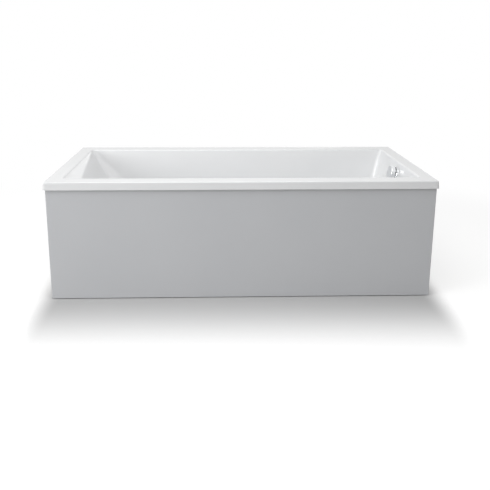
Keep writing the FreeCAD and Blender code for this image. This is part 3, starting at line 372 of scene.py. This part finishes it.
def basin_lines(offset, floor_z, slope):
    """The basin's wall as straight lines from rim height to the floor, once round.

    Each is (top, foot, inward normal). The corners are rolling-ball fillets whose
    radius grows from the rim to the floor; the walls between them are planes."""
    lean = math.radians(slope)
    floor = (Vector((DRAIN_X, 0, floor_z)), Vector((math.sin(lean), 0, math.cos(lean))))
    head = (HEAD_ANGLE, 1, MOUTH_HEAD, HEAD_CORNER_R)
    foot = (FOOT_ANGLE, -1, MOUTH_FOOT, FOOT_CORNER_R)
    order = ((head, -1, True), (foot, -1, False), (foot, 1, True), (head, 1, False))
    corners = []
    for (angle, way_x, mouth_x, floor_r), side_y, from_end in order:
        end_normal = wall_normal(angle, way_x, 0)
        side_normal = wall_normal(SIDE_ANGLE, 0, -side_y)
        first, last = (end_normal, side_normal) if from_end else (side_normal, end_normal)
        top = Vector((mouth_x, side_y * MOUTH_SIDE, RIM_Z))
        top.x -= way_x * offset / math.cos(math.radians(angle))
        top.y += side_y * offset / math.cos(math.radians(SIDE_ANGLE))
        edge = end_normal.cross(side_normal)
        bottom = meet(top, edge, *floor)
        inward = (end_normal + side_normal).normalized()
        reach = 1 / inward.dot(end_normal)
        fan = []
        for k in range(CORNER_STEPS + 1):
            normal = first.slerp(last, k / CORNER_STEPS)
            out = inward * reach - normal
            line_top = top + out * (CORNER_TOP_R + offset)
            line_foot = bottom + out * (floor_r + offset)
            fan.append((line_top, line_foot, normal))
        corners.append(fan)
    return once_round(corners, line_part_way), floor


def rim_loop(radius, z):
    """Once round the lip at this corner radius and height, in step with the basin's lines."""
    half_x = HALF_LENGTH - LIP_CORNER_R
    half_y = HALF_WIDTH - LIP_CORNER_R
    corners = []
    for x, y, start in ((-1, -1, 180), (1, -1, 270), (1, 1, 0), (-1, 1, 90)):
        fan = []
        for k in range(CORNER_STEPS + 1):
            turn = math.radians(start + 90 * k / CORNER_STEPS)
            out_x = radius * math.cos(turn)
            out_y = radius * math.sin(turn)
            fan.append(Vector((x * half_x + out_x, y * half_y + out_y, z)))
        corners.append(fan)
    return once_round(corners, Vector.lerp)


def lip_loops(inset, edge_r):
    """The lip's side from its foot up to the flat, drawn in by inset, as a row of loops."""
    top_z = RIM_Z - inset
    foot_r = LIP_CORNER_R - inset
    draft = LIP_DRAFT / LIP_HEIGHT
    top_r = foot_r - draft * (top_z - LIP_FOOT_Z)
    lean = math.atan(draft)
    centre_z = top_z - edge_r
    centre_r = top_r + draft * edge_r - edge_r / math.cos(lean)
    loops = [rim_loop(foot_r, LIP_FOOT_Z)]
    for k in range(ARC_STEPS + 1):
        turn = lean + (math.pi / 2 - lean) * k / ARC_STEPS
        radius = centre_r + edge_r * math.cos(turn)
        loops.append(rim_loop(radius, centre_z + edge_r * math.sin(turn)))
    return loops


def roll_loops(lines):
    """The rolled edge from the flat rim down to where the basin's wall takes over."""
    loops = [[] for _ in range(ARC_STEPS + 1)]
    centre_level = Vector((0, 0, RIM_Z - ROLL_R))
    for top, foot, normal in lines:
        wall_point = meet(top, foot - top, centre_level + UP * ROLL_R * normal.z, UP)
        centre = wall_point - normal * ROLL_R
        for k in range(ARC_STEPS + 1):
            loops[k].append(centre + UP.slerp(normal, k / ARC_STEPS) * ROLL_R)
    return loops


def floor_loops(lines, floor, radius):
    """The fillet between wall and floor, from the wall to the floor."""
    floor_point, floor_normal = floor
    lifted = floor_point + floor_normal * radius
    loops = [[] for _ in range(ARC_STEPS + 1)]
    for top, foot, normal in lines:
        centre = meet(top + normal * radius, foot - top, lifted, floor_normal)
        for k in range(ARC_STEPS + 1):
            loops[k].append(centre - normal.slerp(floor_normal, k / ARC_STEPS) * radius)
    return loops


def between(first, last, rows):
    """Loops evenly spaced between two, leaving both out."""
    return [[a.lerp(b, k / rows) for a, b in zip(first, last)] for k in range(1, rows)]


def drain_loop(radius, z, around):
    """A circle about the drain in step with the loop around it; z is a height or a plane."""
    loop = []
    for point in around:
        way = Vector((point.x - DRAIN_X, point.y, 0)).normalized() * radius
        place = Vector((DRAIN_X, 0, 0)) + way
        place.z = z if isinstance(z, float) else meet(place, UP, *z).z
        loop.append(place)
    return loop


def tub_mesh():
    """One closed skin: wet side from the lip's foot to the drain, then the dry side back."""
    wet_lines, wet_floor = basin_lines(0.0, FLOOR_Z, FLOOR_SLOPE)
    dry_lines, dry_floor = basin_lines(SHEET, UNDER_Z, 0.0)
    roll = roll_loops(wet_lines)
    fillet = floor_loops(wet_lines, wet_floor, FLOOR_R)
    recess = drain_loop(DRAIN_RECESS_R, wet_floor, fillet[-1])
    wet = lip_loops(0.0, LIP_EDGE_R) + roll
    wet += between(roll[-1], fillet[0], WALL_ROWS) + fillet
    wet += between(fillet[-1], recess, FLOOR_RINGS) + [recess]
    wet.append(drain_loop(DRAIN_RECESS_R, DRAIN_SEAT_Z, fillet[-1]))
    wet.append(drain_loop(DRAIN_HOLE_R, DRAIN_SEAT_Z, fillet[-1]))
    wet.append(drain_loop(DRAIN_HOLE_R, DRAIN_BOSS_Z, fillet[-1]))

    under = floor_loops(dry_lines, dry_floor, FLOOR_R + SHEET)
    boss = drain_loop(DRAIN_BOSS_R, UNDER_Z, under[-1])
    rim_under = Vector((0, 0, RIM_Z - SHEET))
    neck = [meet(top, foot - top, rim_under, UP) for top, foot, _ in dry_lines]
    dry = [drain_loop(DRAIN_BOSS_R, DRAIN_BOSS_Z, under[-1]), boss]
    dry += between(boss, under[-1], FLOOR_RINGS) + under[::-1]
    dry += between(under[0], neck, WALL_ROWS) + [neck]
    dry += lip_loops(SHEET, LIP_EDGE_R - SHEET)[::-1]

    form = bmesh.new()
    rings = [[form.verts.new(p) for p in loop] for loop in wet + dry]
    for k, ring in enumerate(rings):
        for face in bridge(form, ring, rings[(k + 1) % len(rings)]):
            face.smooth = True
            face.material_index = 1 if k >= len(wet) - 1 else 0
    bmesh.ops.recalc_face_normals(form, faces=form.faces)
    return mesh_from(form, "tub_skin")


def cylinder_mesh(name, radius, start, end, sides):
    """A plain round bar between two points, used as a cutter."""
    form = bmesh.new()
    run = end - start
    bmesh.ops.create_cone(
        form, cap_ends=True, segments=sides, radius1=radius, radius2=radius, depth=run.length
    )
    turn = UP.rotation_difference(run).to_matrix().to_4x4()
    form.transform(Matrix.Translation((start + end) / 2) @ turn)
    return mesh_from(form, name)


def cut_hole(piece, cutter_mesh):
    """Cuts the cutter out of the piece's mesh for good."""
    cutter = new_object(piece.name + ".cutter", cutter_mesh)
    cut = piece.modifiers.new("cut", "BOOLEAN")
    cut.object = cutter
    cut.solver = "EXACT"
    bpy.context.view_layer.update()
    held = piece.evaluated_get(bpy.context.evaluated_depsgraph_get())
    solid = bpy.data.meshes.new_from_object(held)
    piece.modifiers.remove(cut)
    piece.data = solid
    bpy.data.objects.remove(cutter)


def smooth_shading(piece):
    """Smooth faces, split where edges are sharp, and flats kept flat."""
    piece.data.set_sharp_from_angle(angle=SMOOTH_ANGLE)
    flat = piece.modifiers.new("flats", "WEIGHTED_NORMAL")
    flat.keep_sharp = True


def overflow_place():
    """The overflow's middle on the foot wall, and the way it faces."""
    x = MOUTH_FOOT - OVERFLOW_DROP * math.tan(math.radians(FOOT_ANGLE))
    return Vector((x, 0, RIM_Z - OVERFLOW_DROP)), wall_normal(FOOT_ANGLE, -1, 0)


def tub(materials):
    """The tub as one smooth moulding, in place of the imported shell."""
    piece = new_object("tub_moulding", tub_mesh(), materials["acrylic"], materials["laminate"])
    origin, facing = overflow_place()
    reach = facing * 3 * SHEET      # well through the sheet, either way
    cutter = cylinder_mesh("overflow_hole", OVERFLOW_HOLE_R, origin - reach, origin + reach, HOLE_SIDES)
    cut_hole(piece, cutter)
    smooth_shading(piece)
    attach(piece, "tub")
    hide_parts("tub_shell")


# ---------------------------------------------------------------- threaded studs
THREAD_PITCH = 0.0015
THREAD_DEPTH = 0.0009
THREAD_SIDES = 20           # mesh steps in one turn
CREST_RISE = 0.5            # crest above root, as a share of the pitch
MERGE_REACH = 1e-7          # closes the thread's two ends


def thread_mesh(name, low, high):
    """A threaded rod that fills an upright box: one ridge wound round it from end to end."""
    middle = (low + high) / 2
    crest_r = (high.x - low.x) / 2
    steps = (math.ceil((high.z - low.z) / THREAD_PITCH) + 1) * THREAD_SIDES
    form = bmesh.new()

    def winding(radius, rise, count):
        """A helix at this radius, raised by this share of the pitch and cut off at the ends."""
        points = []
        for k in range(count):
            turn = 2 * math.pi * k / THREAD_SIDES
            z = low.z + (k / THREAD_SIDES - 1 + rise) * THREAD_PITCH
            x = middle.x + radius * math.cos(turn)
            y = middle.y + radius * math.sin(turn)
            points.append(form.verts.new((x, y, min(max(z, low.z), high.z))))
        return points

    roots = winding(crest_r - THREAD_DEPTH, 0.0, steps + THREAD_SIDES + 1)
    crests = winding(crest_r, CREST_RISE, steps + 1)
    for k in range(steps):
        above = k + THREAD_SIDES
        form.faces.new((roots[k], roots[k + 1], crests[k + 1], crests[k]))
        form.faces.new((crests[k], crests[k + 1], roots[above + 1], roots[above]))
    form.faces.new(roots[:THREAD_SIDES])
    form.faces.new(roots[-THREAD_SIDES:])
    bmesh.ops.remove_doubles(form, verts=form.verts, dist=MERGE_REACH)
    bmesh.ops.recalc_face_normals(form, faces=form.faces)
    return mesh_from(form, name)


def studs(materials):
    """A rod with a wound thread in place of each plain stud."""
    for end in ("head", "foot"):
        for side in ("front", "back"):
            node = f"foot_stud_{end}_{side}"
            low, high = (Vector(corner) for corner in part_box(node))
            mesh = thread_mesh(node, low, high)
            piece = new_object(f"thread_{end}_{side}", mesh, materials["zinc_steel"])
            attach(piece, f"level_foot_{end}_{side}")
            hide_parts(node)


# ---------------------------------------------------------------- grips on the union nuts
GRIP_COUNT = 26
GRIP_R = 0.0012             # half of each rib stands proud of the nut
GRIP_MARGIN = 0.0015        # bare nut at each end
GRIP_SIDES = 8
GRIP_PROFILE = (            # share of the rib's length, share of its radius
    (0.00, 0.2),
    (0.12, 1.0),
    (0.88, 1.0),
    (1.00, 0.2),
)


def grip_mesh(name, centre, axis, radius, length):
    """Half-round ribs along a nut, evenly spaced round it, tapered at both ends."""
    form = bmesh.new()
    rib_length = length - 2 * GRIP_MARGIN
    sideways = axis.orthogonal().normalized()
    for rib in range(GRIP_COUNT):
        out = Matrix.Rotation(2 * math.pi * rib / GRIP_COUNT, 3, axis) @ sideways
        along = axis.cross(out)
        rings = []
        for share, swell in GRIP_PROFILE:
            middle = centre + out * radius + axis * (share - 0.5) * rib_length
            ring = []
            for k in range(GRIP_SIDES):
                turn = 2 * math.pi * k / GRIP_SIDES
                offset = (out * math.cos(turn) + along * math.sin(turn)) * GRIP_R * swell
                ring.append(form.verts.new(middle + offset))
            rings.append(ring)
        for ring, following in zip(rings, rings[1:]):
            bridge(form, ring, following)
        form.faces.new(rings[0])
        form.faces.new(rings[-1])
    bmesh.ops.recalc_face_normals(form, faces=form.faces)
    return mesh_from(form, name)


def nut_grips(materials):
    """Ribs on the four nuts. The upper pipe nut leans with the foot wall."""
    lean = math.radians(FOOT_ANGLE)
    ways = {
        "pipe_nut_upper": Vector((math.sin(lean), 0, math.cos(lean))),
        "pipe_nut_lower": Vector((1, 0, 0)),
        "trap_nut": UP,
        "trap_outlet_nut": Vector((0, 1, 0)),
    }
    slots = {row["node"]: row["material_slot"] for row in frame["record"]["subparts"]}
    for node, axis in ways.items():
        low, high = (Vector(corner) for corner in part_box(node))
        size = high - low
        radius = (size.x if axis.y else size.y) / 2
        # its box along the axis, less what its lean adds to that
        length = size.dot(axis) - 4 * radius * axis.x * axis.z
        mesh = grip_mesh(node + "_grip", (low + high) / 2, axis, radius, length)
        piece = new_object(node + "_grip", mesh, materials[slots[node]])
        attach(piece, "tub")


# ---------------------------------------------------------------- carried-over nodes
def dress_nodes(materials):
    """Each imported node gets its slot's material, and clean shading by modifiers."""
    for row in frame["record"]["subparts"]:
        node = frame["nodes"][row["node"]]
        node.data.materials.clear()
        node.data.materials.append(materials[row["material_slot"]])
        weld = node.modifiers.new("weld", "WELD")
        weld.merge_threshold = WELD_REACH
        split = node.modifiers.new("split", "EDGE_SPLIT")
        split.split_angle = SMOOTH_ANGLE
        node.modifiers.new("flats", "WEIGHTED_NORMAL")


# ---------------------------------------------------------------- stage, light and camera
FLOOR_SIZE = 30.0
FLOOR_TONE = 0.50
LIFT_WITH_PAINTED_SHADOW = (0.02, 0.68)   # added where seen directly: low beside the object as a painted shadow, high on the open floor
PAINTED_SHADOW_REACH = (0.13, 0.53, 0.20)     # distance over which the painted shadow fades into the lift: sideways, forwards, back
PAINTED_SHADOW_INSET = 0.045          # how far inside the two ends the painted shadow starts to fade sideways
OPEN_FLOOR = (1.75, 1.30)   # beyond this ellipse the floor turns into the white backdrop
OPEN_BLEND = 0.55           # width of that change, as a share of the ellipse

SKY_LIGHT = 0.385
LAMPS = {                   # place, what it looks at, width and height, watts
    "side": ((-3.8, -2.3, 1.6), (-0.3, -0.3, 0.3), (1.6, 1.6), 68.0),
    "top": ((-0.3, -0.9, 2.6), (0.0, 0.0, 0.4), (2.0, 2.0), 32.0),
    # weak and low behind the back rim, to be mirrored in the backrest's acrylic
    "glint": ((0.3, 3.2, 0.86), (-0.7, 0.0, 0.5), (1.8, 0.36), 2.0),
}

CAMERA_PLACE = (-0.1124, -2.7113, 1.1638)
CAMERA_PITCH = 12.025       # down
CAMERA_YAW = -1.561
CAMERA_ROLL = 0.170
CAMERA_LENS = 41.77
SHIFT_X = 0.02763
SHIFT_Y = -0.19


def seen_directly(tree):
    """1 for the rays that show the background itself: camera, glossy and transmission."""
    path = tree.nodes.new("ShaderNodeLightPath")
    total = path.outputs["Is Camera Ray"]
    for name in ("Is Glossy Ray", "Is Transmission Ray"):
        add = tree.nodes.new("ShaderNodeMath")
        add.operation = "MAXIMUM"
        tree.links.new(total, add.inputs[0])
        tree.links.new(path.outputs[name], add.inputs[1])
        total = add.outputs[0]
    return total


def floor_material():
    """Matt floor that keeps the object's real shadow, adds a painted shadow round it that reaches
    furthest forwards, and turns white away from it.
    """
    material = bpy.data.materials.new("floor")
    material.use_nodes = True
    tree = material.node_tree
    tree.nodes.remove(tree.nodes["Principled BSDF"])

    def math_node(operation, *values):
        node = tree.nodes.new("ShaderNodeMath")
        node.operation = operation
        for socket, value in zip(node.inputs, values):
            if isinstance(value, float):
                socket.default_value = value
            else:
                tree.links.new(value, socket)
        return node.outputs[0]

    def ramp(value, *ends):
        node = tree.nodes.new("ShaderNodeMapRange")
        node.interpolation_type = "SMOOTHSTEP"
        tree.links.new(value, node.inputs["Value"])
        for name, end in zip(("From Min", "From Max", "To Min", "To Max"), ends):
            node.inputs[name].default_value = end
        return node.outputs["Result"]

    place = tree.nodes.new("ShaderNodeTexCoord")
    split = tree.nodes.new("ShaderNodeSeparateXYZ")
    tree.links.new(place.outputs["Object"], split.inputs[0])
    across, along = split.outputs["X"], split.outputs["Y"]
    seen = seen_directly(tree)

    # beside the object: matt, with a lift that grows away from its sides, which paints a shadow round
    # the object, longest in front
    side = math_node("SUBTRACT", math_node("ABSOLUTE", across), HALF_LENGTH - PAINTED_SHADOW_INSET)
    front = math_node("SUBTRACT", math_node("MULTIPLY", along, -1.0), HALF_WIDTH)
    back = math_node("SUBTRACT", along, HALF_WIDTH)
    total = 0.0
    for distance, reach in zip((side, front, back), PAINTED_SHADOW_REACH):
        outside = math_node("DIVIDE", math_node("MAXIMUM", distance, 0.0), reach)
        total = math_node("ADD", math_node("POWER", outside, 2.0), total)
    # small near the object and full on the open floor: a painted shadow that darkens the floor round it
    lift_past_painted_shadow = ramp(math_node("SQRT", total), 0.0, 1.0, *LIFT_WITH_PAINTED_SHADOW)
    painted_shadow_glow = tree.nodes.new("ShaderNodeEmission")
    tree.links.new(math_node("MULTIPLY", lift_past_painted_shadow, seen), painted_shadow_glow.inputs["Strength"])
    matt = tree.nodes.new("ShaderNodeBsdfDiffuse")
    matt.inputs["Color"].default_value = (FLOOR_TONE, FLOOR_TONE, FLOOR_TONE, 1.0)
    near = tree.nodes.new("ShaderNodeAddShader")
    tree.links.new(matt.outputs[0], near.inputs[0])
    tree.links.new(painted_shadow_glow.outputs[0], near.inputs[1])

    # further out: plain white
    wide = math_node("POWER", math_node("DIVIDE", across, OPEN_FLOOR[0]), 2.0)
    deep = math_node("POWER", math_node("DIVIDE", along, OPEN_FLOOR[1]), 2.0)
    away = ramp(math_node("SQRT", math_node("ADD", wide, deep)), 1.0, 1.0 + OPEN_BLEND, 0.0, 1.0)
    white = tree.nodes.new("ShaderNodeEmission")
    mix = tree.nodes.new("ShaderNodeMixShader")
    tree.links.new(math_node("MULTIPLY", away, seen), mix.inputs["Fac"])
    tree.links.new(near.outputs[0], mix.inputs[1])
    tree.links.new(white.outputs[0], mix.inputs[2])
    tree.links.new(mix.outputs[0], tree.nodes["Material Output"].inputs["Surface"])
    return material


def stage_floor():
    form = bmesh.new()
    bmesh.ops.create_grid(form, x_segments=1, y_segments=1, size=FLOOR_SIZE / 2)
    mesh = mesh_from(form, "floor")
    material = floor_material()
    new_object("floor", mesh, material)


def sky():
    """A plain sky that lights the object, and is white where it is seen directly."""
    world = bpy.data.worlds.new("sky")
    bpy.context.scene.world = world
    world.use_nodes = True
    tree = world.node_tree
    plain = tree.nodes["Background"]
    plain.inputs["Color"].default_value = (1, 1, 1, 1)
    plain.inputs["Strength"].default_value = SKY_LIGHT
    white = tree.nodes.new("ShaderNodeBackground")
    white.inputs["Color"].default_value = (1, 1, 1, 1)
    white.inputs["Strength"].default_value = 1.0
    mix = tree.nodes.new("ShaderNodeMixShader")
    tree.links.new(seen_directly(tree), mix.inputs["Fac"])
    tree.links.new(plain.outputs[0], mix.inputs[1])
    tree.links.new(white.outputs[0], mix.inputs[2])
    tree.links.new(mix.outputs[0], tree.nodes["World Output"].inputs["Surface"])


def lamp(name, place, target, size, power):
    """A soft lamp of this width and height that looks at a target and isn't seen itself."""
    light = bpy.data.lights.new(name, "AREA")
    light.shape = "RECTANGLE"
    light.size, light.size_y = size
    light.energy = power
    holder = bpy.data.objects.new(name, light)
    bpy.context.scene.collection.objects.link(holder)
    holder.location = place
    holder.rotation_euler = (Vector(target) - Vector(place)).to_track_quat("-Z", "Y").to_euler()
    holder.visible_camera = False


def lights():
    for name, (place, target, size, power) in LAMPS.items():
        lamp(name, place, target, size, power)


def camera():
    """The photo's viewpoint. Part of the photo's own lens shift is kept as a shift."""
    data = bpy.data.cameras.new("camera")
    data.lens = CAMERA_LENS
    data.shift_x = SHIFT_X
    data.shift_y = SHIFT_Y
    holder = bpy.data.objects.new("camera", data)
    bpy.context.scene.collection.objects.link(holder)
    to_view = (
        Matrix.Rotation(math.radians(CAMERA_ROLL), 3, "Y")
        @ Matrix.Rotation(math.radians(CAMERA_PITCH), 3, "X")
        @ Matrix.Rotation(math.radians(-CAMERA_YAW), 3, "Z")
    )
    right, forward, up = to_view
    turn = Matrix((right, up, -forward)).transposed().to_4x4()
    holder.matrix_world = Matrix.Translation(CAMERA_PLACE) @ turn
    bpy.context.scene.camera = holder


# ---------------------------------------------------------------- the scene
def build():
    camera()
    materials = all_materials()
    dress_nodes(materials)
    tub(materials)
    studs(materials)
    nut_grips(materials)
    stage_floor()
    sky()
    lights()
    bpy.context.scene.view_settings.view_transform = "Standard"


build()
